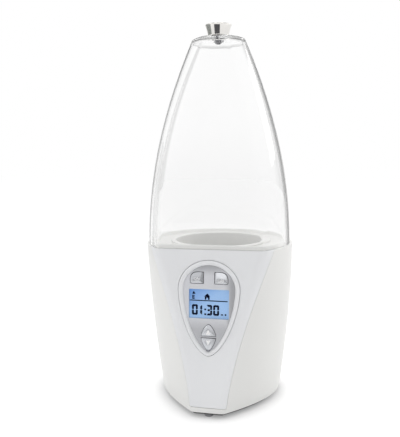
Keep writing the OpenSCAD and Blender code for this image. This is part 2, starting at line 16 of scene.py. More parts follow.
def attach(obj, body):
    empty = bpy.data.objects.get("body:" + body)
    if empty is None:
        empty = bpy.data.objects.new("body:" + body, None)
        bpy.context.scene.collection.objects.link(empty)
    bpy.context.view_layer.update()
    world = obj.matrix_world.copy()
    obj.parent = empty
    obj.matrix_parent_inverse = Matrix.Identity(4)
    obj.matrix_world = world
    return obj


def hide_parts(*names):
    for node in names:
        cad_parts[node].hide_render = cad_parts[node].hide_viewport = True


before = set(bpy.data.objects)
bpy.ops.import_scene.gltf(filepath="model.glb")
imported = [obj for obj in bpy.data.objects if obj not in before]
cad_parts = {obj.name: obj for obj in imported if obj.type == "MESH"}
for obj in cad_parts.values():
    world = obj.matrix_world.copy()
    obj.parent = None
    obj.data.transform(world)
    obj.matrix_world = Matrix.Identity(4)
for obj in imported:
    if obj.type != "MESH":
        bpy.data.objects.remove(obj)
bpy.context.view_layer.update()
MM = 0.001

# %% [markdown]
# ## Camera
# The camera comes first, because every later choice is judged through it. It stands a little to the right
# of the front and above the deck, and looks slightly down. Its focal length is known in pixels of the
# picture, so it is turned into millimetres on a 36 mm sensor along the picture's long side.

# %% Camera
PICTURE_H = 437
FOCUS_PX = 548.6
STAND_OFF = 0.4943
EYE_HEIGHT = 0.2196
TURN = math.radians(9.9)
AIM = Vector((0, 0, 0.1604))
SIDE_STEP_PX = 19.3
ROLL = math.radians(-0.534)
SENSOR = 36.0


def place_camera():
    lens = bpy.data.cameras.new("product_camera")
    lens.sensor_width = SENSOR
    lens.lens = FOCUS_PX / PICTURE_H * SENSOR
    lens.clip_start = 0.01
    eye = Vector((STAND_OFF * math.sin(TURN), -STAND_OFF * math.cos(TURN), EYE_HEIGHT))
    across = Vector((math.cos(TURN), math.sin(TURN), 0))
    target = AIM - across * SIDE_STEP_PX / FOCUS_PX * (AIM - eye).length
    camera = bpy.data.objects.new("product_camera", lens)
    facing = (target - eye).to_track_quat("-Z", "Y").to_matrix().to_4x4()
    camera.matrix_world = Matrix.Translation(eye) @ facing @ Matrix.Rotation(ROLL, 4, "Z")
    bpy.context.scene.collection.objects.link(camera)
    bpy.context.scene.camera = camera
    return camera


camera = place_camera()
eye = [round(c, 3) for c in camera.matrix_world.translation]
print("lens", round(camera.data.lens, 2), "mm, eye at", eye)

# %% [markdown]
# ## Studio
# The object stands on a pale floor in an even white room. The floor and the room are white for the camera
# and for what metal and clear plastic show, while the light on the object stays at a plain level. Two
# helpers keep the shader trees short: one feeds the inputs of a node, the other adds a node and feeds it.

# %% Node helpers
def feed(tree, node, inputs):
    """Gives each input of a node its value, or a link to a socket or to a node's first output."""
    for socket, value in inputs.items():
        if isinstance(value, bpy.types.Node):
            value = value.outputs[0]
        if isinstance(value, bpy.types.NodeSocket):
            tree.links.new(value, node.inputs[socket])
        else:
            node.inputs[socket].default_value = value
    return node


def add_node(tree, kind, inputs=None, operation=None):
    node = tree.nodes.new("ShaderNode" + kind)
    if operation:
        node.operation = operation
    return feed(tree, node, inputs or {})


def put_mesh(bm, name, finish):
    """Makes an object of a mesh and gives it its finish."""
    mesh = bpy.data.meshes.new(name)
    bm.to_mesh(mesh)
    bm.free()
    mesh.materials.append(finish)
    thing = bpy.data.objects.new(name, mesh)
    bpy.context.scene.collection.objects.link(thing)
    return thing


def seen_rays(tree):
    """1 for rays from the camera, from mirrors and through clear plastic, 0 for the light itself."""
    rays = add_node(tree, "LightPath").outputs
    seen = rays["Is Camera Ray"]
    for kind in ("Is Glossy Ray", "Is Transmission Ray"):
        seen = add_node(tree, "Math", {0: seen, 1: rays[kind]}, "MAXIMUM")
    first = add_node(tree, "Math", {0: rays["Diffuse Depth"], 1: 0.5}, "LESS_THAN")
    return add_node(tree, "Math", {0: first, 1: seen}, "MULTIPLY")


def grey_of(tone):
    return (tone, tone, tone, 1)


print("helpers for shader nodes and meshes")

# %% [markdown]
# What the camera sees of the floor is part light of its own and part plain shading, so that the floor is
# white but keeps the object's shadow. Where the floor comes close to the object its own light goes down,
# which draws the narrow dark line of contact.

# %% Floor
FLOOR_HALF = 4.0
FLOOR_TONES = (0.90, 0.93)
FLOOR_LIFT, FLOOR_SHADE = 0.55, 0.58
FLOOR_NEAR, FLOOR_CONTACT = 0.0125, 0.4


def floor_finish():
    mat = bpy.data.materials.new("studio_floor")
    mat.use_nodes = True
    tree = mat.node_tree
    tree.nodes.remove(tree.nodes["Principled BSDF"])
    where = add_node(tree, "TexCoord").outputs["Object"]
    mottle = add_node(tree, "TexNoise", {"Vector": where, "Scale": 3.0})
    tone = add_node(tree, "ValToRGB", {"Fac": mottle})
    for stop, grey in zip(tone.color_ramp.elements, FLOOR_TONES):
        stop.color = grey_of(grey)
    paint = add_node(tree, "BsdfDiffuse", {"Color": tone})
    veil = add_node(tree, "BsdfDiffuse", {"Color": grey_of(FLOOR_SHADE)})
    near = add_node(tree, "AmbientOcclusion", {"Distance": FLOOR_NEAR}).outputs["AO"]
    dim = add_node(tree, "MapRange", {"Value": near, "To Min": FLOOR_LIFT * FLOOR_CONTACT,
                                      "To Max": FLOOR_LIFT})
    glow = add_node(tree, "Emission", {"Strength": dim})
    shown = add_node(tree, "AddShader", {0: veil, 1: glow})
    pick = add_node(tree, "MixShader", {"Fac": seen_rays(tree), 1: paint, 2: shown})
    feed(tree, tree.nodes["Material Output"], {"Surface": pick})
    return mat


sheet = bmesh.new()
bmesh.ops.create_grid(sheet, x_segments=8, y_segments=8, size=FLOOR_HALF)
put_mesh(sheet, "studio_floor", floor_finish())
print("floor", 2 * FLOOR_HALF, "m wide")

# %% [markdown]
# Clear plastic shows its shape by bending the view towards darker parts of a room. A soft grey ring around
# the line of sight, seen only through clear plastic, gives the dome's edges and ridges something to bend
# into view.

# %% Room
ROOM_LIGHT = 0.79
WALL_OUT, WALL_UP, WALL_ALONG = 0.16, 0.26, 1000
WALL_GREY, WALL_REACH, WALL_TONE = (1.9, 2.8), 3.6, 0.72


def white_room():
    world = bpy.data.worlds.new("white_room")
    bpy.context.scene.world = world
    world.use_nodes = True
    tree = world.node_tree
    tree.nodes.clear()
    lit = add_node(tree, "Background", {"Color": grey_of(1.0), "Strength": ROOM_LIGHT})
    shown = add_node(tree, "Background", {"Color": grey_of(1.0), "Strength": 1.0})
    turn = add_node(tree, "Mapping", {"Vector": add_node(tree, "TexCoord").outputs["Generated"],
                                      "Rotation": (0, 0, TURN), "Scale": (WALL_OUT, WALL_ALONG, WALL_UP)})
    turn.vector_type = "TEXTURE"
    away = add_node(tree, "VectorMath", {0: turn}, "LENGTH").outputs["Value"]
    share = add_node(tree, "Math", {0: away, 1: 1 / WALL_REACH}, "MULTIPLY")
    fade = add_node(tree, "ValToRGB", {"Fac": share})
    ramp = fade.color_ramp
    ramp.interpolation = "EASE"
    ramp.elements[0].position = 1 / WALL_REACH
    ramp.elements[1].position = 1.0
    for place in WALL_GREY:
        ramp.elements.new(place / WALL_REACH)
    for stop, tone in zip(ramp.elements, (1.0, WALL_TONE, WALL_TONE, 1.0)):
        stop.color = grey_of(tone)
    walls = add_node(tree, "Background", {"Color": fade})
    bent = add_node(tree, "MixShader", {"Fac": add_node(tree, "LightPath").outputs["Is Transmission Ray"],
                                        1: shown, 2: walls})
    pick = add_node(tree, "MixShader", {"Fac": seen_rays(tree), 1: lit, 2: bent})
    add_node(tree, "OutputWorld", {"Surface": pick})
    return world


print("room", white_room().name)

# %% [markdown]
# Three large soft lamps give the sides slightly different tones, so that the white shapes read against
# white. A clear dome needs many bounces, because light runs a long way inside its wall.

# %% Lamps
LAMP_AIM = Vector((0, 0, 0.15))
BOUNCES = 40


def soft_lamp(name, spot, size, power, tint):
    data = bpy.data.lights.new(name, "AREA")
    data.shape = "RECTANGLE"
    data.size, data.size_y = size
    data.energy = power
    data.color = tint
    lamp = bpy.data.objects.new(name, data)
    aim = LAMP_AIM - Vector(spot)
    lamp.matrix_world = Matrix.Translation(spot) @ aim.to_track_quat("-Z", "Y").to_matrix().to_4x4()
    lamp.visible_camera = False
    lamp.visible_transmission = False
    bpy.context.scene.collection.objects.link(lamp)
    print(name, "at", spot, power, "W")


soft_lamp("left_softbox", (-0.95, -0.45, 0.75), (0.28, 0.55), 0.7, (1.0, 1.0, 1.0))
soft_lamp("right_softbox", (0.85, 0.62, 0.65), (0.3, 0.55), 1.5, (1.0, 0.975, 0.94))
soft_lamp("top_softbox", (0.0, 0.25, 1.35), (0.5, 0.5), 3.2, (1.0, 1.0, 1.0))
scene = bpy.context.scene
scene.view_settings.view_transform = "Standard"
scene.cycles.blur_glossy = 0.0
scene.cycles.max_bounces = BOUNCES
scene.cycles.glossy_bounces = BOUNCES
scene.cycles.transmission_bounces = BOUNCES

# %% [markdown]
# ## Finishes
# One helper mixes most of the finishes. Real mouldings are never one flat colour: the tone drifts a little
# over the part, the gloss has faint patches and the surface has a fine texture. The helper makes these
# three from noise on Object coordinates, which stay put on the part, and sets everything that is the same
# all over on the shader itself.

# %% Finish helper
NOISE_REST = 0.8


def tone_of(red, green, blue):
    """A colour as it looks on a screen, 0 to 255, as the linear value that the shader takes."""
    def linear(c):
        c /= 255
        return c / 12.92 if c <= 0.04045 else ((c + 0.055) / 1.055) ** 2.4
    return (linear(red), linear(green), linear(blue), 1.0)


def further(a, b):
    """Beyond b, seen from a: what a straight ramp reaches at the far end of the noise."""
    return min(1.0, max(0.0, b + (b - a) * NOISE_REST))


def make_finish(name, pale, deep, patch, rough, grain, metal=0.0, plain=None):
    """patch is patches per metre, rough lowest and highest roughness, grain (per metre, strength, depth)."""
    mat = bpy.data.materials.new(name)
    mat.use_nodes = True
    tree = mat.node_tree
    where = add_node(tree, "TexCoord").outputs["Object"]

    def noise(scale, detail):
        return add_node(tree, "TexNoise", {"Vector": where, "Scale": scale, "Detail": detail})

    tone = add_node(tree, "ValToRGB", {"Fac": noise(patch, 3.0)})
    tone.color_ramp.elements[0].color = [further(p, d) for p, d in zip(pale, deep)]
    tone.color_ramp.elements[1].color = [further(d, p) for p, d in zip(pale, deep)]
    gloss = add_node(tree, "MapRange", {"Value": noise(patch * 2.7, 2.0),
                                        "To Min": further(rough[1], rough[0]),
                                        "To Max": further(rough[0], rough[1])})
    bump = add_node(tree, "Bump", {"Height": noise(grain[0], 2.0), "Strength": grain[1],
                                   "Distance": grain[2]})
    feed(tree, tree.nodes["Principled BSDF"], {"Base Color": tone, "Roughness": gloss, "Normal": bump,
                                               "Metallic": metal, **(plain or {})})
    return mat


print("finish helper")

# %% [markdown]
# Polished metal in an all-white room looks like white paint. In a real studio it also mirrors the dark side
# of the room behind the camera and the grey of a side wall. Two sheets on the floor, seen only by mirrored
# rays, draw that dark stripe and grey edge on the knob. Each is a sector of a ring, swept with a spin, and
# takes no light away.

# %% Studio sheets
SHEET_NEAR, SHEET_FAR, SHEET_Z = 0.55, 1.6, 0.002


def studio_sheet(name, first, last, top, pale, deep):
    """A sector of the floor between two bearings, from the front towards the right, and its upright end."""
    bm = bmesh.new()
    profile = ((SHEET_NEAR, SHEET_Z), (SHEET_FAR, SHEET_Z), (SHEET_FAR, top))
    ends = [bm.verts.new((0, -out, z)) for out, z in profile]
    edges = [bm.edges.new(pair) for pair in zip(ends, ends[1:])]
    bmesh.ops.rotate(bm, cent=(0, 0, 0), matrix=Matrix.Rotation(math.radians(first), 3, "Z"), verts=ends)
    bmesh.ops.spin(bm, geom=ends + edges, cent=(0, 0, 0), axis=(0, 0, 1), dvec=(0, 0, 0),
                   angle=math.radians(last - first), steps=12, use_merge=False, use_normal_flip=False,
                   use_duplicate=False)
    bmesh.ops.recalc_face_normals(bm, faces=bm.faces[:])
    card = put_mesh(bm, name, make_finish(name + "_paint", pale, deep, 4, (0.7, 0.9), (60, 0.1, 0.001)))
    card.visible_camera = card.visible_diffuse = card.visible_transmission = card.visible_shadow = False
    print(name, "from", first, "to", last, "degrees")


studio_sheet("dark_sheet", -30, 25, 0.03, tone_of(74, 73, 78), tone_of(58, 57, 62))
studio_sheet("grey_sheet", -131, -66, 0.5, tone_of(172, 176, 174), tone_of(160, 164, 162))

# %% [markdown]
# The base is glossy white moulded plastic and the front panel a slightly greyer satin one. The control
# plate and the keys are silver paint, which is part metal and has a fine sparkle. The knob is polished
# metal, the feet are grey rubber and the lower cover is dark plastic. Each row of the table gives a pale
# and a deep tone, the patches, the roughness and the grain, and then, where they are needed, the share of
# metal and a clear coat.

# %% Plastic, paint and metal
PAINTS = {
    "white_plastic": ((238, 238, 236), (235, 235, 233), 9, (0.31, 0.37), (1400, 0.05, 0.0002), 0.0,
                      {"Coat Weight": 0.15, "Coat Roughness": 0.12}),
    "panel_plastic": ((237, 238, 240), (233, 234, 236), 11, (0.32, 0.38), (1800, 0.05, 0.0002), 0.0,
                      {"Coat Weight": 0.1, "Coat Roughness": 0.15}),
    "well_plastic": ((244, 244, 242), (239, 239, 237), 14, (0.34, 0.44), (1500, 0.06, 0.0002)),
    "polished_metal": ((234, 232, 228), (224, 222, 219), 60, (0.06, 0.12), (2600, 0.03, 0.0001), 1.0),
    "silver_plate_painted_shade": ((222, 223, 227), (212, 213, 218), 2600, (0.34, 0.46), (5200, 0.10, 0.0001), 0.5),
    "stud_steel": ((128, 128, 132), (104, 104, 108), 180, (0.22, 0.34), (3000, 0.08, 0.0001), 1.0),
    "dark_plastic": ((52, 53, 56), (42, 43, 46), 30, (0.42, 0.55), (1500, 0.12, 0.0003)),
    "grey_rubber": ((142, 142, 144), (126, 126, 128), 90, (0.62, 0.78), (2400, 0.25, 0.0003)),
    "seal_rubber": ((176, 176, 174), (160, 160, 158), 80, (0.5, 0.62), (2200, 0.15, 0.0002)),
    "plate_steel": ((205, 205, 206), (188, 188, 190), 45, (0.24, 0.36), (900, 0.08, 0.0002), 1.0),
    "screw_steel": ((190, 191, 194), (168, 169, 172), 220, (0.28, 0.4), (3000, 0.1, 0.0001), 1.0),
    "heater_body": ((176, 160, 136), (156, 140, 118), 60, (0.6, 0.75), (900, 0.2, 0.0004)),
    "brass_pin": ((222, 196, 128), (206, 178, 108), 120, (0.2, 0.3), (2600, 0.06, 0.0001), 1.0),
    "backlight_white": ((236, 239, 244), (228, 232, 240), 40, (0.4, 0.5), (1200, 0.05, 0.0001)),
    "board_green": ((34, 104, 62), (26, 84, 50), 420, (0.3, 0.42), (900, 0.1, 0.0002)),
    "board_tan": ((178, 142, 84), (160, 124, 70), 300, (0.42, 0.55), (900, 0.12, 0.0002)),
    "part_yellow": ((228, 202, 74), (214, 186, 58), 90, (0.35, 0.45), (1200, 0.08, 0.0002)),
    "part_blue": ((44, 66, 128), (34, 52, 108), 90, (0.3, 0.42), (1200, 0.08, 0.0002)),
    "white_print": ((250, 250, 250), (244, 244, 245), 900, (0.45, 0.55), (4000, 0.05, 0.0001)),
    "dark_segments": ((10, 16, 46), (6, 10, 34), 900, (0.4, 0.5), (4000, 0.03, 0.0001), 0.0,
                      {"Specular IOR Level": 0.05}),
}
# One silver key paint at three tones: the on key's deeper tone is painted shade and the off key's paler one a
# painted highlight.
for key, tone in (("silver", 206), ("on", 198), ("off", 238)):
    PAINTS[key + "_key_painted_light"] = ((tone, tone + 2, tone + 6), (tone - 10, tone - 8, tone - 3), 2600,
                                  (0.18, 0.27), (5200, 0.05, 0.0001), 0.7,
                                  {"Coat Weight": 0.3, "Coat Roughness": 0.1})
FINISH = {name: make_finish(name, tone_of(*pale), tone_of(*deep), *rest)
          for name, (pale, deep, *rest) in PAINTS.items()}
print("finishes", len(FINISH))

# %% [markdown]
# Shade and reflection are painted into some colours here. The silver plate lies in a hollow, so a painted
# reflection of the shaded bezel darkens its upper end, its lower tip and its right edge. The on and off keys
# carry a painted reflection of the dark middle of the plate on the sides that face each other, the up and
# down keys are painted darker towards their right, and the off key is painted darker at its right edge and
# below a bright band at its top, which is a painted highlight. The white shell carries a band of painted
# shade beside the right parting line. Soft ranges over Object coordinates darken the same paint there.
# Where two ranges meet, the darker one counts, or for the shell the lighter one, so that only a band is
# darkened.

# %% Painted shade
def paint_in_shade(finish, ranges, meet="MINIMUM"):
    """Paints shade into a finish's colour over soft ranges: an axis, where it begins and is full in metres,
    what is left.
    """
    tree = FINISH[finish].node_tree
    shader = tree.nodes["Principled BSDF"]
    where = next(n for n in tree.nodes if n.type == "TEX_COORD")
    parts = add_node(tree, "SeparateXYZ", {"Vector": where.outputs["Object"]}).outputs
    shade = None
    for axis, begin, full, deep in ranges:
        fade = add_node(tree, "MapRange", {"Value": parts[axis], "From Min": begin, "From Max": full,
                                           "To Min": 1.0, "To Max": deep})
        fade.interpolation_type = "SMOOTHSTEP"
        shade = add_node(tree, "Math", {0: shade, 1: fade}, meet) if shade else fade
    paint = shader.inputs["Base Color"].links[0].from_socket
    product = add_node(tree, "VectorMath", {0: paint, 1: shade}, "MULTIPLY")
    feed(tree, shader, {"Base Color": product})
    print(finish, "shaded over", len(ranges), "ranges")


# Painted shade on the keys: the up and down keys darker towards their right, the on key towards its right
# edge, the off key at both sides and below the painted highlight band at its top.
paint_in_shade("silver_key_painted_light", [("X", 0.0015, 0.0055, 0.7)])
paint_in_shade("on_key_painted_light", [("X", -0.0074, -0.0050, 0.55)])
paint_in_shade("off_key_painted_light", [("X", 0.0068, 0.0050, 0.45), ("X", 0.0135, 0.0160, 0.5),
                              ("Z", 0.1172, 0.1156, 0.66)])
# Painted reflection of the shaded bezel: the plate darker at its upper end, its right edge and its lower tip.
paint_in_shade("silver_plate_painted_shade", [("Z", 0.117, 0.128, 0.6), ("X", 0.012, 0.020, 0.6), ("Z", 0.086, 0.072, 0.72)])
# Painted shade on the white shell: a band a little darker beside the right parting line.
paint_in_shade("white_plastic", [("X", 0.058, 0.026, 0.95), ("X", -0.01, 0.01, 0.95)], "MAXIMUM")

# %% [markdown]
# The dome is clear moulded plastic. It lets light through and bends it, and the plastic itself takes a
# little light away over a long path. A volume absorption shader does just that. Its colour is painted a
# little darker towards its foot, as painted shade. The display window is thin and coated, so it hardly
# mirrors.

# %% Clear plastic
def make_clear(name, tint, rough, ior):
    tint += (1,)
    return make_finish(name, tint, tuple(c * 0.995 for c in tint[:3]) + (1,), 6, rough, (22, 0.02, 0.0004),
                       plain={"Transmission Weight": 1.0, "IOR": ior})


FINISH["clear_window"] = make_clear("clear_window", (0.98, 0.99, 1.0), (0.0, 0.03), 1.08)
FINISH["clear_dome"] = make_clear("clear_dome", (0.99, 0.99, 0.99), (0.0, 0.015), 1.49)
dome_tree = FINISH["clear_dome"].node_tree
take = add_node(dome_tree, "VolumeAbsorption", {"Color": (0.6, 0.615, 0.625, 1), "Density": 1.5})
feed(dome_tree, dome_tree.nodes["Material Output"], {"Volume": take})
# Painted shade: the dome's colour a little darker towards its foot.
paint_in_shade("clear_dome", [("Z", 0.26, 0.155, 0.962)])

# %% [markdown]
# The display is a blue back-lit liquid crystal. It glows evenly and is a little deeper towards its upper
# left. A gradient across Object coordinates sets that, and fine noise breaks it up.

# %% Display finish
def make_display():
    mat = make_finish("display_blue", tone_of(98, 124, 164), tone_of(88, 114, 156), 60, (0.3, 0.4),
                      (2000, 0.02, 0.0001))
    tree = mat.node_tree
    where = next(n for n in tree.nodes if n.type == "TEX_COORD")
    turn = add_node(tree, "Mapping", {"Vector": where.outputs["Object"], "Location": (0.56, 0.5, -2.2),
                                      "Scale": (14.0, 0.0, 18.0)})
    parts = add_node(tree, "SeparateXYZ", {"Vector": turn}).outputs
    drift = add_node(tree, "Math", {0: parts["X"], 1: parts["Z"]}, "SUBTRACT")
    ramp = add_node(tree, "ValToRGB", {"Fac": drift})
    for stop, place, tone in zip(ramp.color_ramp.elements, (0.66, 1.0), ((100, 150, 214), (162, 196, 230))):
        stop.position = place
        stop.color = tone_of(*tone)
    feed(tree, tree.nodes["Principled BSDF"], {"Emission Color": ramp, "Emission Strength": 0.6})
    return mat


FINISH["lcd_blue"] = make_display()
print("display finish")

# %% [markdown]
# ## Helpers for shapes
# Most of the parts are skins that follow a section from level to level. A ring of vertices comes from
# create_circle, is put on its section, and is then extruded edge by edge to the next level. Working in
# millimetres keeps the numbers readable, and the last helper turns the mesh into metres.

# %% Ring helpers
MERGE = 1e-4


def edges_of(bm, ring, closed=True):
    pairs = list(zip(ring, ring[1:])) + ([(ring[-1], ring[0])] if closed else [])
    return [bm.edges.get(pair) for pair in pairs]


def start_ring(bm, places):
    """A first ring of vertices on the given places."""
    ring = list(bmesh.ops.create_circle(bm, cap_ends=False, segments=len(places), radius=1.0)["verts"])
    for vert, place in zip(ring, places):
        vert.co = place
    return ring


def climb(bm, ring, places, closed=True):
    """Extrudes a ring or a row to its next places and gives the new one back."""
    made = bmesh.ops.extrude_edge_only(bm, edges=edges_of(bm, ring, closed))["geom"]
    fresh = {v for v in made if isinstance(v, bmesh.types.BMVert)}
    upper = [next(e.other_vert(v) for e in v.link_edges if e.other_vert(v) in fresh) for v in ring]
    for vert, place in zip(upper, places):
        vert.co = place
    return upper


def loft(bm, rings, loop=False):
    """Stacks rings; with loop the last one is bridged to the first, so the skin closes on itself."""
    first = ring = start_ring(bm, rings[0])
    for places in rings[1:]:
        ring = climb(bm, ring, places)
    if loop:
        bmesh.ops.bridge_loops(bm, edges=edges_of(bm, first) + edges_of(bm, ring))
    return first, ring


def cap(bm, ring):
    bmesh.ops.edgeloop_fill(bm, edges=edges_of(bm, ring))


def block(rings):
    """A solid through a stack of rings, closed at both ends."""
    bm = bmesh.new()
    for end in loft(bm, rings):
        cap(bm, end)
    return bm


def turned(profile, steps, middle=(0, 0, 0)):
    """A lathe: the profile's (radius, height) points are joined and spun about the upright through middle."""
    bm = bmesh.new()
    centre = Vector(middle)
    verts = [bm.verts.new(centre + Vector((r, 0, z))) for r, z in profile]
    edges = [bm.edges.new(pair) for pair in zip(verts, verts[1:])]
    bmesh.ops.spin(bm, geom=verts + edges, cent=centre, axis=(0, 0, 1), dvec=(0, 0, 0), angle=2 * math.pi,
                   steps=steps, use_merge=True, use_normal_flip=False, use_duplicate=False)
    bmesh.ops.remove_doubles(bm, verts=bm.verts[:], dist=MERGE)
    return bm


def arc_points(centre, radius, start, end, steps):
    """Points of a round in a profile, angles in degrees."""
    turns = [math.radians(start + (end - start) * i / steps) for i in range(steps + 1)]
    return [(centre[0] + radius * math.cos(a), centre[1] + radius * math.sin(a)) for a in turns]


print("ring and lathe helpers")

# %% [markdown]
# Each mesh becomes a piece in the same way: it is scaled to metres, its faces are turned outwards, edges
# sharper than a limit stay crisp while the rest is smoothed, it is tied to its CAD body, and the CAD parts
# that it stands for are hidden.

# %% Piece helper
def make_piece(bm, name, body, slot, finish=None, stands_for=(), sharp=40):
    bmesh.ops.scale(bm, vec=(MM, MM, MM), verts=bm.verts[:])
    bmesh.ops.recalc_face_normals(bm, faces=bm.faces[:])
    for face in bm.faces:
        face.smooth = True
    limit = math.radians(sharp)
    for edge in bm.edges:
        edge.smooth = len(edge.link_faces) != 2 or edge.calc_face_angle(0) < limit
    piece = put_mesh(bm, name, FINISH[finish or slot])
    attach(piece, body)
    if stands_for:
        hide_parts(*stands_for)
    print(name, len(piece.data.polygons), "faces on", body)
    return piece


def thicken(piece, wall, edge_round):
    """Gives an open skin its wall, inwards, and rounds the edges of the wall."""
    solid = piece.modifiers.new("wall", "SOLIDIFY")
    solid.thickness = wall * MM
    solid.offset = -1
    solid.use_even_offset = True
    soften = piece.modifiers.new("edges", "BEVEL")
    soften.width = edge_round * MM
    soften.segments = 3
    soften.limit_method = "ANGLE"
    soften.angle_limit = math.radians(50)
    crisp = piece.modifiers.new("normals", "WEIGHTED_NORMAL")
    crisp.keep_sharp = True


print("piece helpers")

# %% [markdown]
# ## Sections of the base and the dome
# Looked at from above, every level has the same kind of outline: a flat front, a soft corner on each side,
# a side that swings round to its widest line, and a full round back. Six numbers set it at each height. The
# same functions are in the CAD model, so the fine skins here lie on its solids.

# %% Section functions
SKIRT_Z, DECK_Z, CAP_Z = 5.0, 140.0, 316.0
LIP_Z = 9.0
BODY_HALF, FOOT_HALF, CAP_HALF = 65.4, 54.5, 23.8
FRONT_TOP, FRONT_LOW = 49.0, 62.5
CREASE_TOP, CREASE_LOW, CREASE_BEND = 45.8, 13.2, 1.36
SEAM_TOP, SEAM_LOW, SEAM_BEND = 12.3, 2.8, 2.2
DOME_HALF, DOME_LEAD, DOME_BEND = 63.2, 1.0, 1.95
CAP_FLAT, CAP_LEAD, CAP_BACK = 0.44, 0.06, 0.03
BACK_TOP, BACK_LOW = 62.5, 56.0
HIP_Y, WIDEST_LOW = -25.0, 6.0
CORNER_LOW, CORNER_TOP = (3.2, 2.1), (5.0, 4.4)
SHELL_T, DOME_T, CREASE_SHARE = 2.5, 2.4, 0.47
SEAM_GAP = 0.35
SIDE_POWER, BACK_POWER = 1.7, 2.2


def mix(a, b, t):
    return a + (b - a) * t


def clip(u):
    return min(1.0, max(0.0, u))


def bend(a, b, c, t):
    """A soft turn from a to c that is drawn towards b."""
    return (1 - t) ** 2 * a + 2 * t * (1 - t) * b + t * t * c


def share_up(z):
    """How far a level is up the base, 0 at the skirt and 1 at the deck."""
    return (z - SKIRT_Z) / (DECK_Z - SKIRT_Z)


def base_section(z, t=0.0):
    """Half widths and depths of a level, t inside the skin."""
    u = share_up(z)
    c = clip(u)
    return {"w": mix(CREASE_LOW, CREASE_TOP, c ** CREASE_BEND) - CREASE_SHARE * t,
            "d": mix(FRONT_LOW, FRONT_TOP, u) - t,
            "s": mix(FOOT_HALF, BODY_HALF, 1 - (1 - c) ** SIDE_POWER) - t,
            "hip": HIP_Y, "y": WIDEST_LOW * (1 - c), "back": mix(BACK_LOW, BACK_TOP, u) - t}


def dome_section(z, t=0.0):
    v = clip((z - DECK_Z) / (CAP_Z - DECK_Z))
    s = mix(DOME_HALF, CAP_HALF, v ** DOME_BEND)
    k = s / DOME_HALF
    return {"w": s * mix(CREASE_TOP / DOME_HALF, CAP_FLAT, v ** 4) - CREASE_SHARE * t,
            "d": k * (FRONT_TOP - DOME_LEAD) * (1 + CAP_LEAD * v ** 4) - t,
            "s": s - t, "hip": HIP_Y * k, "y": 0.0,
            "back": k * (BACK_TOP - DOME_LEAD) * (1 + CAP_BACK * v) - t}


def side_at(p, t):
    return Vector(((1 - t) ** 2 * p["w"] + (1 - (1 - t) ** 2) * p["s"],
                   -(1 - t) ** 2 * p["d"] + 2 * t * (1 - t) * p["hip"] + t * t * p["y"]))


def back_at(p, turn):
    return Vector((p["s"] * max(0.0, math.cos(turn)) ** (2 / BACK_POWER),
                   p["y"] + (p["back"] - p["y"]) * math.sin(turn) ** (2 / BACK_POWER)))


def along_side(p, arc):
    """The side curve's own measure of a short way from the corner."""
    return arc / (2 * math.hypot(p["s"] - p["w"], p["hip"] + p["d"]))


def corner_at(p, reach, begin, t):
    """A place on the soft corner between the flat front and the side."""
    return bend(Vector((p["w"] - reach, -p["d"])), Vector((p["w"], -p["d"])), side_at(p, begin), t)


print("a level has a front, two corners, two sides and a back")

# %% [markdown]
# The outline is drawn for the right half only and then mirrored. Every level has the same number of points,
# so the rings can be joined point by point.

# %% Outlines
FLAT_N, TURN_N, SEAM_N, SIDE_N, BACK_N = 6, 7, 6, 22, 30


def half_outline(p, corner, seam=None):
    """Right half from the middle of the front to the middle of the back; also where the seam is on it.
    The corner is how far its round reaches along the front and along the side."""
    reach, begin = corner[0], along_side(p, corner[1])
    seam = begin if seam is None else seam
    run = [Vector(((p["w"] - reach) * i / FLAT_N, -p["d"])) for i in range(FLAT_N)]
    run += [corner_at(p, reach, begin, i / TURN_N) for i in range(TURN_N)]
    run += [side_at(p, mix(begin, seam, i / SEAM_N)) for i in range(SEAM_N)] if seam > begin else []
    mark = len(run)
    run += [side_at(p, mix(seam, 1, i / SIDE_N)) for i in range(SIDE_N)]
    run += [back_at(p, math.pi / 2 * i / BACK_N) for i in range(BACK_N + 1)]
    return run, mark


def flipped(run):
    """The mirror image of a run, in reverse order."""
    return [Vector((-q[0], *q[1:])) for q in reversed(run)]


def mirrored(run):
    """A half outline and its mirror image as one closed run."""
    return run + flipped(run[1:-1])


def at(run, z):
    return [Vector((q.x, q.y, z)) for q in run]


def seam_arc(z):
    return mix(SEAM_LOW, SEAM_TOP, clip(share_up(z)) ** SEAM_BEND)


def corner_of(z):
    return [mix(low, top, clip(share_up(z))) for low, top in zip(CORNER_LOW, CORNER_TOP)]


print("deck is", 2 * base_section(DECK_Z)["s"], "mm wide")

# %% [markdown]
# ## White shell
# The shell wraps the sides and the back in one moulding and runs under the front panel as a narrow lip. A
# closed ring makes the lip. Above it only the part of the ring behind the two parting lines is extruded on,
# so that the front stays open for its panel. Two cuts each way and a delete make the window for the mains
# inlet.

# %% White shell
SHELL_LEVELS, SHELL_ROUND = 44, 0.6
INLET_HALF, INLET_LOW, INLET_HIGH = 11.4, 17.6, 31.4
CUT_BEHIND, CUT_BELOW = 40, 45


def shell_run(z):
    p = base_section(z)
    return half_outline(p, corner_of(z), along_side(p, seam_arc(z) + SEAM_GAP))


def faces_at_back(bm):
    """The faces around the mains inlet, the only ones that the cuts go through."""
    spots = [(f, f.calc_center_median()) for f in bm.faces]
    return [f for f, spot in spots if spot.y > CUT_BEHIND and spot.z < CUT_BELOW]


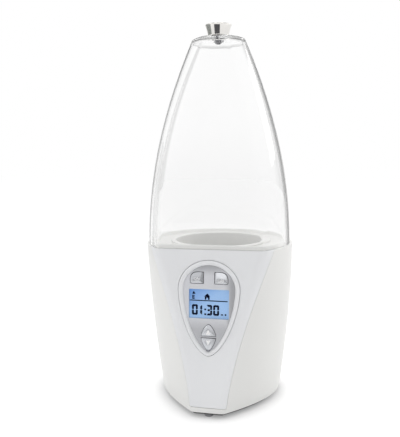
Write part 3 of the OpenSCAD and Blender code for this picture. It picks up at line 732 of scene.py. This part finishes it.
def build_shell():
    bm = bmesh.new()
    low, mark = shell_run(SKIRT_Z)
    ring = start_ring(bm, at(mirrored(low), SKIRT_Z))
    ring = climb(bm, ring, at(mirrored(shell_run(LIP_Z)[0]), LIP_Z))
    row = ring[mark:len(ring) - mark + 1]
    for i in range(1, SHELL_LEVELS + 1):
        z = mix(LIP_Z, DECK_Z, i / SHELL_LEVELS)
        run = mirrored(shell_run(z)[0])
        row = climb(bm, row, at(run[mark:len(run) - mark + 1], z), closed=False)
    cuts = [((x, 0, 0), (1, 0, 0)) for x in (INLET_HALF, -INLET_HALF)]
    cuts += [((0, 0, z), (0, 0, 1)) for z in (INLET_LOW, INLET_HIGH)]
    for spot, way in cuts:
        near = faces_at_back(bm)
        geom = near + list({e for f in near for e in f.edges}) + list({v for f in near for v in f.verts})
        bmesh.ops.bisect_plane(bm, geom=geom, plane_co=spot, plane_no=way, dist=MERGE)
    spots = [(f, f.calc_center_median()) for f in faces_at_back(bm)]
    hole = [f for f, spot in spots if abs(spot.x) < INLET_HALF and INLET_LOW < spot.z < INLET_HIGH]
    bmesh.ops.delete(bm, geom=hole, context="FACES")
    return bm


shell = make_piece(build_shell(), "white_shell", "base", "white_plastic", stands_for=["main_shell"])
thicken(shell, SHELL_T, SHELL_ROUND)

# %% [markdown]
# ## Front panel
# The front leans back and is truly flat, so it is filled between its border and the teardrop hole in one
# step. Its two long edges are then extruded around the soft corners to the parting lines. A narrow inset
# keeps the shading of the corners from creeping over the flat.

# %% Face frame and teardrop
LEAN = math.atan((FRONT_LOW - FRONT_TOP) / (DECK_Z - SKIRT_Z))
FACE = Matrix.Translation((0, -base_section(0)["d"], 0)) @ Matrix.Rotation(math.pi / 2 - LEAN, 4, "X")
FACE_Z = 107
FACE_Y = FACE_Z / math.cos(LEAN)
FACE_HALF, FACE_UP, FACE_DOWN = 26.0, 24.5, 55.0
TEAR_POWER, TEAR_N = 1.21, 144


def tear(inset, z):
    """The teardrop of the control face, drawn in by inset, at a height above the panel."""
    places = []
    for i in range(TEAR_N):
        a = 2 * math.pi * i / TEAR_N
        c, s = math.cos(a), math.sin(a)
        if s >= 0:
            x, y = (FACE_HALF - inset) * c, (FACE_UP - inset) * s
        else:
            x = (FACE_HALF - inset) * math.copysign(abs(c) ** TEAR_POWER, c)
            y = -(FACE_DOWN - inset) * abs(s) ** TEAR_POWER
        places.append(Vector((x, FACE_Y + y, z)))
    return places


def on_face(bm):
    """Moves what was drawn in the face's own frame onto the leaning front."""
    bmesh.ops.transform(bm, matrix=FACE, verts=bm.verts[:])


print("front leans", round(math.degrees(LEAN), 2), "degrees")

# %% Front panel
PANEL_LEVELS, PANEL_ACROSS = 44, 10
PANEL_LOW, PANEL_T, PANEL_ROUND = LIP_Z + SEAM_GAP, SHELL_T - 0.1, 0.45
BORDER = 0.4
RING_GAP = 0.3


def panel_places(z, station):
    """A place on the right of the panel: 0 is the end of the flat, then around the corner to the seam."""
    p = base_section(z)
    reach, around = corner_of(z)
    begin, end = along_side(p, around), along_side(p, seam_arc(z))
    if station <= TURN_N:
        q = corner_at(p, reach, begin, station / TURN_N)
    else:
        q = side_at(p, mix(begin, end, (station - TURN_N) / SEAM_N))
    return Vector((q.x, q.y, z))


def build_panel():
    bm = bmesh.new()
    levels = [mix(PANEL_LOW, DECK_Z, i / PANEL_LEVELS) for i in range(PANEL_LEVELS + 1)]
    right = [panel_places(z, 0) for z in levels]
    left = flipped(right)
    top = [right[-1].lerp(left[0], i / PANEL_ACROSS) for i in range(1, PANEL_ACROSS)]
    foot = [left[-1].lerp(right[0], i / PANEL_ACROSS) for i in range(1, PANEL_ACROSS)]
    border = start_ring(bm, right + top + left + foot)
    hole = start_ring(bm, [FACE @ q for q in tear(-RING_GAP, 0)])
    flat = bmesh.ops.triangle_fill(bm, edges=edges_of(bm, border) + edges_of(bm, hole), use_beauty=True,
                                   normal=FACE.to_3x3() @ Vector((0, 0, 1)))["geom"]
    bmesh.ops.inset_region(bm, faces=[f for f in flat if isinstance(f, bmesh.types.BMFace)], thickness=BORDER,
                           use_boundary=True, use_even_offset=True)
    edge_r = border[:len(right)]
    edge_l = border[len(right) + len(top):len(right) + len(top) + len(left)]
    for station in range(1, TURN_N + SEAM_N + 1):
        places = [panel_places(z, station) for z in levels]
        edge_r = climb(bm, edge_r, places, closed=False)
        edge_l = climb(bm, edge_l, flipped(places), closed=False)
    return bm


panel = make_piece(build_panel(), "front_panel_skin", "base", "panel_plastic", stands_for=["front_panel"])
thicken(panel, PANEL_T, PANEL_ROUND)

# %% [markdown]
# ## Bezel
# A white ring with a rounded section frames the control face. It sits in the panel with a thin dark gap
# around it. One teardrop per point of its section, closed on itself, makes the ring.

# %% Bezel ring
BEZEL_SECTION = [(-1.6, -4.0), (-1.6, -2.8), (0.05, -2.8), (0.05, -0.2), (0.1, 0.3), (0.3, 0.75),
                 (0.65, 1.1), (1.1, 1.32), (1.6, 1.4), (2.1, 1.34), (2.6, 1.14), (3.1, 0.76), (3.5, 0.3),
                 (3.85, -0.2), (4.1, -0.6), (4.2, -0.9), (4.2, -3.75), (4.9, -3.8), (4.9, -5.0),
                 (3.0, -5.0)]


def build_bezel():
    bm = bmesh.new()
    loft(bm, [tear(inset, z) for inset, z in BEZEL_SECTION], loop=True)
    on_face(bm)
    return bm


make_piece(build_bezel(), "bezel", "base", "white_plastic", finish="panel_plastic", stands_for=["bezel_ring"],
           sharp=50)

# %% [markdown]
# ## Control plate and keys
# The plate is a thin silver sheet with cut-outs for the display and the four keys. Each key is a little
# crowned form: its outline rises straight out of its hole, turns over a small round and then swells to the
# middle. The marks are thin prints dropped onto the crowned tops by casting a ray for every corner.

# %% Outlines on the plate
LCD_W, LCD_H, LCD_ROUND = 33.8, 24.4, 0.7
LCD_Y = FACE_Y - 11.8
SPLIT_Y, SPLIT_HALF = FACE_Y - 39.2, 0.6
KEY_X0, KEY_X1, KEY_LOW, KEY_HIGH = 4.4, 16.2, 4.8, 15.0
KEY_ROUND, KEY_ROUND_LOW, KEY_ROUND_HIGH = 0.9, 1.6, 6.6
ARROW_HALF, ARROW_N = 6.5, 36
KEY_GAP = 0.4
PLATE_FRONT, PLATE_T, PLATE_INSET, PLATE_ROUND = -0.6, 2.0, 4.3, 0.18


def soft_polygon(corners, steps=6):
    """A closed outline with each corner (x, y, round) turned softly."""
    run = []
    for i, (x, y, r) in enumerate(corners):
        here = Vector((x, y))
        back = (Vector(corners[i - 1][:2]) - here).normalized()
        on = (Vector(corners[(i + 1) % len(corners)][:2]) - here).normalized()
        run += [bend(here + back * r, here, here + on * r, j / steps) for j in range(steps + 1)]
    return run


def upper_key(side, k):
    """The outline of a key beside the middle, drawn in by k."""
    low, high = FACE_Y + KEY_LOW + k, FACE_Y + KEY_HIGH - k
    run = soft_polygon([(KEY_X0 + k, low, KEY_ROUND), (KEY_X1 - k, low, KEY_ROUND_LOW),
                        (KEY_X1 - k, high, KEY_ROUND_HIGH), (KEY_X0 + k, high, KEY_ROUND)])
    return run if side > 0 else flipped(run)


def arrow_key(way, height, power, k):
    """The outline of a key above or below the split line, drawn in by k."""
    run = []
    for i in range(ARROW_N + 1):
        a = math.pi * i / ARROW_N
        c, s = math.cos(a), max(0.0, math.sin(a))
        run.append(Vector((math.copysign(abs(c) ** power, c) * (ARROW_HALF - k),
                           SPLIT_Y + way * (SPLIT_HALF + k + (height - 2 * k) * s ** power))))
    return run if way > 0 else list(reversed(run))


KEYS = {"on": lambda k: upper_key(-1, k), "off": lambda k: upper_key(1, k),
        "up": lambda k: arrow_key(1, 10.2, 1.3, k), "down": lambda k: arrow_key(-1, 11.4, 1.4, k)}


def window_outline(k):
    x, y = LCD_W / 2 - k, LCD_H / 2 - k
    return soft_polygon([(i * x, LCD_Y + j * y, LCD_ROUND) for i, j in ((-1, -1), (1, -1), (1, 1), (-1, 1))])


print("key outlines", {name: len(draw(0)) for name, draw in KEYS.items()})

# %% Control plate
def build_plate():
    bm = bmesh.new()
    loops = [start_ring(bm, tear(PLATE_INSET, PLATE_FRONT))]
    loops += [start_ring(bm, at(draw(0), PLATE_FRONT)) for draw in list(KEYS.values()) + [window_outline]]
    rims = [e for ring in loops for e in edges_of(bm, ring)]
    bmesh.ops.triangle_fill(bm, edges=rims, use_beauty=True, normal=(0, 0, 1))
    on_face(bm)
    return bm


plate = make_piece(build_plate(), "silver_plate", "base", "silver_face", finish="silver_plate_painted_shade",
                   stands_for=["control_plate"])
thicken(plate, PLATE_T, PLATE_ROUND)

# %% Keys
KEY_FOOT = -2.6
KEY_EDGE = {"on": -0.42, "off": -0.42, "up": -0.3, "down": -0.3}
CROWN = [(0.99, 0.1), (0.965, 0.19), (0.92, 0.3), (0.85, 0.43), (0.74, 0.59), (0.6, 0.75), (0.44, 0.87),
         (0.26, 0.96), (0.1, 1.0)]
CROWN_RISE = {"on": 1.0, "off": 1.0, "up": 1.2, "down": 1.2}


def build_key(name):
    run = KEYS[name](KEY_GAP)
    middle = sum(run, Vector((0, 0))) / len(run)
    rings = [at(run, KEY_FOOT), at(run, KEY_EDGE[name])]
    for share, rise in CROWN:
        inner = [middle + (q - middle) * share for q in run]
        rings.append(at(inner, KEY_EDGE[name] + CROWN_RISE[name] * rise))
    bm = block(rings)
    bmesh.ops.recalc_face_normals(bm, faces=bm.faces[:])
    return bm


key_tops = {}
for key in KEYS:
    key_mesh = build_key(key)
    key_tops[key] = BVHTree.FromBMesh(key_mesh)
    on_face(key_mesh)
    make_piece(key_mesh, key + "_key_cap", key + "_key", "silver_key",
               finish=("silver" if key in ("up", "down") else key) + "_key_painted_light",
               stands_for=[key + "_button"], sharp=50)

# %% Marks on the keys
PRINT_T, PRINT_LIFT, DROP_FROM = 0.05, 0.01, 5.0
WORD_H, MARK_ROUND = 3.1, 0.5


def drop_onto(bm, tree):
    """Lets every corner of a flat print fall onto the key below it."""
    for vert in bm.verts:
        hit = tree.ray_cast(Vector((vert.co.x, vert.co.y, DROP_FROM)), Vector((0, 0, -1)))[0]
        if hit:
            vert.co.z = hit.z + PRINT_LIFT


def raise_print(bm):
    """Gives a flat print its thickness."""
    made = bmesh.ops.extrude_face_region(bm, geom=bm.faces[:], use_keep_orig=True)["geom"]
    for vert in made:
        if isinstance(vert, bmesh.types.BMVert):
            vert.co.z += PRINT_T


def word_mesh(word, height, middle):
    """A word as a flat mesh in the face's frame, centred on middle."""
    curve = bpy.data.curves.new("word", "FONT")
    curve.body = word
    curve.size = height
    curve.align_x, curve.align_y = "CENTER", "CENTER"
    curve.resolution_u = 3
    holder = bpy.data.objects.new("word", curve)
    bpy.context.scene.collection.objects.link(holder)
    bpy.context.view_layer.update()
    mesh = bpy.data.meshes.new_from_object(holder.evaluated_get(bpy.context.evaluated_depsgraph_get()))
    bpy.data.objects.remove(holder)
    bpy.data.curves.remove(curve)
    bm = bmesh.new()
    bm.from_mesh(mesh)
    bpy.data.meshes.remove(mesh)
    bmesh.ops.remove_doubles(bm, verts=bm.verts[:], dist=MERGE)
    bmesh.ops.translate(bm, vec=Vector((middle[0], middle[1], 0)), verts=bm.verts[:])
    return bm


def triangle_mesh(middle, width, height, way):
    bm = bmesh.new()
    tip, foot = middle[1] + way * height / 2, middle[1] - way * height / 2
    run = soft_polygon([(middle[0], tip, MARK_ROUND), (middle[0] - way * width / 2, foot, MARK_ROUND),
                        (middle[0] + way * width / 2, foot, MARK_ROUND)], 3)
    cap(bm, start_ring(bm, at(run, 0)))
    bmesh.ops.triangulate(bm, faces=bm.faces[:])
    bmesh.ops.subdivide_edges(bm, edges=bm.edges[:], cuts=1, use_grid_fill=True)
    return bm


MARKS = {"on": lambda: word_mesh("ON", WORD_H, (-10.2, FACE_Y + 9.0)),
         "off": lambda: word_mesh("OFF", WORD_H, (10.0, FACE_Y + 7.6)),
         "up": lambda: triangle_mesh((0, SPLIT_Y + 4.4), 4.2, 4.2, 1),
         "down": lambda: triangle_mesh((0, SPLIT_Y - 4.6), 4.0, 4.0, -1)}
for key, draw in MARKS.items():
    mark_mesh = draw()
    drop_onto(mark_mesh, key_tops[key])
    raise_print(mark_mesh)
    on_face(mark_mesh)
    make_piece(mark_mesh, key + "_mark", key + "_key", "silver_key", finish="white_print")

# %% [markdown]
# ## Display
# Behind the window lies the lit glass with its dark segments. The figures are drawn from seven bars each,
# as every such display does it, with two small signs above a dividing line. The window is a thin clear slab
# in front of them.

# %% Display glass and window
GLASS_FRONT, GLASS_T = -3.8, 1.6
WINDOW_BACK, WINDOW_FRONT = -3.4, -0.95
GLASS_STACK = [(-1.2, GLASS_FRONT - GLASS_T), (-1.2, GLASS_FRONT - 0.2), (-1.0, GLASS_FRONT)]
WINDOW_STACK = [(-0.9, WINDOW_BACK), (-0.9, -2.7), (0.3, -2.65), (0.3, WINDOW_FRONT - 0.2),
                (0.5, WINDOW_FRONT)]


def slab(stack):
    """A block of the display's outline, drawn in and raised by the pairs of the stack."""
    bm = block([at(window_outline(k), z) for k, z in stack])
    on_face(bm)
    return bm


make_piece(slab(GLASS_STACK), "display_glass", "base", "lcd_blue", stands_for=["lcd_glass"])
make_piece(slab(WINDOW_STACK), "display_window", "base", "clear_window", stands_for=["lcd_window"])

# %% Figures and signs
STROKE, CHAMFER = 1.7, 0.85
INK_LIFT = 0.02
FIGURES = {"0": "abcdef", "1": "bc", "3": "abcdg"}


def add_flat(bm, run):
    """One flat patch of ink with the given outline, on the display's face."""
    cap(bm, start_ring(bm, at([Vector((x, LCD_Y + y)) for x, y in run], GLASS_FRONT + INK_LIFT)))


def add_block(bm, x0, y0, x1, y1):
    add_flat(bm, [(x0, y0), (x1, y0), (x1, y1), (x0, y1)])


def bar_outlines(wide, tall):
    """The seven bars of a figure about its middle. The upright ones are notched where they meet half-way."""
    x, y, w, c = wide / 2, tall / 2, STROKE, CHAMFER
    upper = [(x - w, 0.45), (x - w / 2, 0.12), (x, 0.45), (x, y - c), (x - c / 2, y - c / 2), (x - w, y - w)]
    lower = [(a, -b) for a, b in reversed(upper)]
    top = [(x - w, y - w), (x - c / 2, y - c / 2), (x - c, y), (c - x, y), (c / 2 - x, y - c / 2),
           (w - x, y - w)]
    middle = [(x - w, 0), (x - w - 0.5, w / 2), (w - x, w / 2), (w / 2 - x, 0), (w - x, -w / 2),
              (x - w - 0.5, -w / 2)]

    def left(run):
        return [(-a, b) for a, b in reversed(run)]

    return {"a": top, "b": upper, "c": lower, "d": [(a, -b) for a, b in reversed(top)], "e": left(lower),
            "f": left(upper), "g": middle}


def add_figure(bm, figure, middle, wide, tall):
    bars = bar_outlines(wide, tall)
    for name in FIGURES[figure]:
        add_flat(bm, [(middle[0] + a, middle[1] + b) for a, b in bars[name]])


def add_signs(bm):
    """A dividing line, a bottle, a house, the colon and the unit marks."""
    add_block(bm, -16.4, 1.85, 15.2, 2.7)
    add_flat(bm, [(-14.5, 7.5), (-12.1, 7.5), (-12.1, 8.2), (-13.0, 9.4), (-13.2, 10.1), (-13.5, 10.1),
                  (-13.7, 9.4), (-14.5, 8.2)])
    for y in (3.3, 4.5, 5.7):
        add_block(bm, -13.7, y, -12.5, y + 0.7)
    add_block(bm, -14.6, 3.3, -13.7, 6.8)
    add_flat(bm, [(-4.4, 5.9), (-4.0, 5.6), (-4.0, 4.7), (0.1, 4.7), (0.1, 5.6), (0.4, 5.9), (-1.6, 8.2),
                  (-2.0, 8.2)])
    for x0, x1 in ((-4.0, -2.6), (-1.3, 0.1)):
        add_block(bm, x0, 3.1, x1, 4.7)
    for y in (-9.75, -5.75):
        add_block(bm, -4.25, y, -2.7, y + 1.4)
    add_block(bm, 9.8, -9.4, 11.6, -8.35)
    add_block(bm, 13.0, -9.55, 14.3, -8.15)


def build_segments():
    bm = bmesh.new()
    for figure, x, wide in (("0", -12.3, 5.0), ("1", -8.6, 5.0), ("3", -0.15, 5.05), ("0", 5.75, 5.05)):
        add_figure(bm, figure, (x, -5.5), wide, 8.8)
    add_signs(bm)
    bmesh.ops.recalc_face_normals(bm, faces=bm.faces[:])
    raise_print(bm)
    on_face(bm)
    return bm


make_piece(build_segments(), "display_segments", "base", "lcd_blue", finish="dark_segments")

# %% [markdown]
# ## Deck and well
# Under the dome lies a flat deck with a low ridge that keeps the dome in place, and a round water well. The
# deck runs from the outer outline to the well's circle, so each ring is put at the same bearing from the
# well's centre. The well and the steel plate at its floor are lathe work.

# %% Deck
WELL_Y = 4.0
DECK_HOLE_R, DECK_LOW = 42.3, 137.0
DECK_EDGE = [(3.0, DECK_LOW), (3.0, 139.7), (3.3, 140.0)]
RIDGE_EDGE = [(3.2, 140.05), (3.3, 142.6), (3.45, 143.1), (3.8, 143.4), (4.4, 143.4), (4.75, 143.1),
              (4.9, 142.6), (5.0, 140.6), (5.3, 140.15), (5.8, 140.0)]
HOLE_EDGE = [(0.8, 140.0), (0.2, 139.8), (0.0, 139.2)]


def deck_places(p, z):
    return at(mirrored(half_outline(p, corner_of(DECK_Z))[0]), z)


def circle_like(places, radius, z, y=0.0):
    """A circle about an upright at y whose points lie at the bearings of the given places."""
    bearings = [math.atan2(q.y - y, q.x) for q in places]
    return [Vector((radius * math.cos(a), y + radius * math.sin(a), z)) for a in bearings]


def build_deck():
    bm = bmesh.new()
    edge = [deck_places(base_section(DECK_Z - 0.5, inset), z) for inset, z in DECK_EDGE]
    ridge = [deck_places(dome_section(DECK_Z, inset), z) for inset, z in RIDGE_EDGE]
    foot = circle_like(edge[0], DECK_HOLE_R, DECK_LOW, WELL_Y)
    hole = [circle_like(edge[0], DECK_HOLE_R + wider, z, WELL_Y) for wider, z in HOLE_EDGE]
    loft(bm, [foot] + edge + ridge + hole, loop=True)
    return bm


# The deck is white plastic like the shell but takes the paler well finish, painted light that brightens it
# under the dome.
make_piece(build_deck(), "deck", "base", "white_plastic", finish="well_plastic", stands_for=["deck_ring"],
           sharp=60)

# %% Well and heating plate
LATHE_N = 128
WELL_PROFILE = (
    [(30.9, 69.0), (38.6, 69.0), (39.2, 69.6), (41.8, 140.0), (44.4, 140.0), (44.5, 140.2), (44.5, 140.9)]
    + arc_points((43.9, 141.0), 0.6, 0, 90, 5) + arc_points((41.2, 140.4), 1.2, 90, 180, 7)
    + [(39.6, 130.0), (38.6, 100.0), (37.9, 75.0)] + arc_points((36.7, 72.2), 1.2, 0, -90, 5)
    + [(30.9, 71.0), (30.9, 69.0)])
PLATE_PROFILE = [(0, 66.0), (30.0, 66.0), (30.3, 66.3), (30.3, 72.0), (36.3, 72.0), (36.7, 72.4),
                 (36.7, 73.6), (36.3, 74.0), (33.4, 74.0), (33.1, 73.7), (31.9, 73.7), (31.6, 74.0),
                 (18.4, 74.0), (18.1, 73.7), (16.9, 73.7), (16.6, 74.0), (0, 74.0)]
WELL_MIDDLE = (0, WELL_Y, 0)
make_piece(turned(WELL_PROFILE, LATHE_N, WELL_MIDDLE), "well", "base", "well_plastic",
           stands_for=["water_well"], sharp=35)
make_piece(turned(PLATE_PROFILE, LATHE_N, WELL_MIDDLE), "warming_plate", "base", "plate_steel",
           stands_for=["heating_plate"], sharp=25)

# %% [markdown]
# ## Dome
# The dome is one closed skin: up the outside, over the gently domed cap to the stud's hole, and back down
# the inside. A real wall matters here, because clear plastic shows its shape only where light travels along
# its wall. The cap's outer shoulder is soft and its inner one crisp. The dome casts no shadow, as clear
# plastic lets nearly all light by.

# %% Dome
DOME_LEVELS, CAP_STEPS = 120, 28
DOME_FOOT = DECK_Z + 0.15
CAP_RISE, CAP_CORNER, CAP_IN_Z = 3.6, 1.5, 312.6
STUD_HOLE_R = 2.1
RIDGE_ROUND, RIDGE_LEAST = 3.4, 0.4


def dome_run(z, t):
    p = dome_section(z, t)
    corner = RIDGE_ROUND * p["s"] / DOME_HALF + RIDGE_LEAST
    return mirrored(half_outline(p, (corner, corner))[0])


def soft_shoulder(k):
    """How high the cap is at a share of its width."""
    return CAP_RISE * (1 - k ** 3) ** (1 / 2.2)


def crisp_shoulder(k):
    return CAP_CORNER * (1 - k ** 24) ** 0.5 + (CAP_RISE - CAP_CORNER) * (1 - k * k)


def cap_rings(run, z0, shoulder):
    """Rings that draw the cap in from its edge, over a shoulder, to the stud's hole."""
    rings = []
    for i in range(1, CAP_STEPS + 1):
        k = math.cos(math.pi / 2 * i / (CAP_STEPS + 1)) ** 0.8
        rings.append(at([q * k for q in run], z0 + shoulder(k)))
    return rings + [circle_like(run, STUD_HOLE_R, z0 + CAP_RISE)]


def skin_rings(top, t, shoulder):
    """One side of the wall, from the foot up to the stud's hole."""
    levels = [mix(DOME_FOOT, top, i / DOME_LEVELS) for i in range(DOME_LEVELS + 1)]
    return [at(dome_run(z, t), z) for z in levels] + cap_rings(dome_run(top, t), top, shoulder)


def build_dome():
    bm = bmesh.new()
    inner = skin_rings(CAP_IN_Z, DOME_T, crisp_shoulder)
    loft(bm, skin_rings(CAP_Z, 0, soft_shoulder) + inner[::-1], loop=True)
    return bm


dome = make_piece(build_dome(), "dome_skin", "dome", "clear_dome", stands_for=["dome_cover"], sharp=70)
dome.visible_shadow = False

# %% [markdown]
# ## Knob
# The knob is turned metal that flares towards its top. A lathe profile with small rounds at both rims is
# spun once.

# %% Knob
KNOB_LOW_Z, KNOB_TOP_Z = 320.4, 329.8
KNOB_SIDE = [(9.4, 1.6), (9.72, 3.0), (10.1, 4.5), (10.53, 6.0), (11.0, 7.5), (11.4, 8.7)]
KNOB_PROFILE = (
    [(0, KNOB_LOW_Z), (8.7, KNOB_LOW_Z)] + arc_points((8.7, KNOB_LOW_Z + 0.45), 0.45, -80, -8, 4)
    + [(r, KNOB_LOW_Z + up) for r, up in KNOB_SIDE]
    + arc_points((11.35, KNOB_TOP_Z - 0.35), 0.35, -15, 90, 6)
    + [(10.2, KNOB_TOP_Z - 0.05), (9.6, KNOB_TOP_Z - 0.25), (0, KNOB_TOP_Z - 0.25)])
make_piece(turned(KNOB_PROFILE, LATHE_N), "turned_knob", "dome", "chrome", finish="polished_metal",
           stands_for=["knob"], sharp=35)

# %% [markdown]
# ## Feet
# Three short rubber feet, pressed into the cover, carry the warmer. Each is turned with a soft lower rim.

# %% Feet
FOOT_N = 48
FOOT_PROFILE = [(0, 0.25), (2.2, 0.25), (2.6, 0.0), (3.2, 0.0), (3.7, 0.35), (4.3, 2.2), (4.2, 2.6),
                (2.3, 2.6), (2.3, 6.4), (0, 6.4)]
for foot, spot in (("front_foot", (0, -55.5, 0)), ("left_foot", (-30, 18, 0)), ("right_foot", (30, 18, 0))):
    make_piece(turned(FOOT_PROFILE, FOOT_N, spot), foot + "_rubber", "base", "black_rubber",
               finish="grey_rubber", stands_for=[foot], sharp=35)

# %% [markdown]
# ## Finishes on the parts that stay as they are
# The other CAD parts already have their right shape. Each gets the finish of its own material.

# %% Finishes on CAD parts
NODE_FINISH = {
    "seal_rubber": ["plate_seal", "knob_seal"], "heater_body": ["heater_ring"],
    "plate_steel": ["heater_clamp"],
    "screw_steel": ["clamp_screws", "base_screws", "board_screws", "power_board_screws"],
    "backlight_white": ["thermal_fuse", "lcd_backlight"], "brass_pin": ["temperature_sensor", "inlet_pins"],
    "dark_plastic": ["base_cover", "tact_switches", "buzzer", "power_inlet"],
    "board_green": ["display_board"],
    "board_tan": ["power_board"], "part_yellow": ["transformer"], "part_blue": ["capacitor", "relay"],
    "stud_steel": ["knob_stud", "knob_washer", "knob_nut"]}
dressed = {node: finish for finish, nodes in NODE_FINISH.items() for node in nodes}
for node, finish in dressed.items():
    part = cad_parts[node]
    part.data.materials.clear()
    part.data.materials.append(FINISH[finish])
shown = [n for n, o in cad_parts.items() if not o.hide_render]
print("CAD parts shown", len(shown), "without a finish", sorted(set(shown) - set(dressed)))
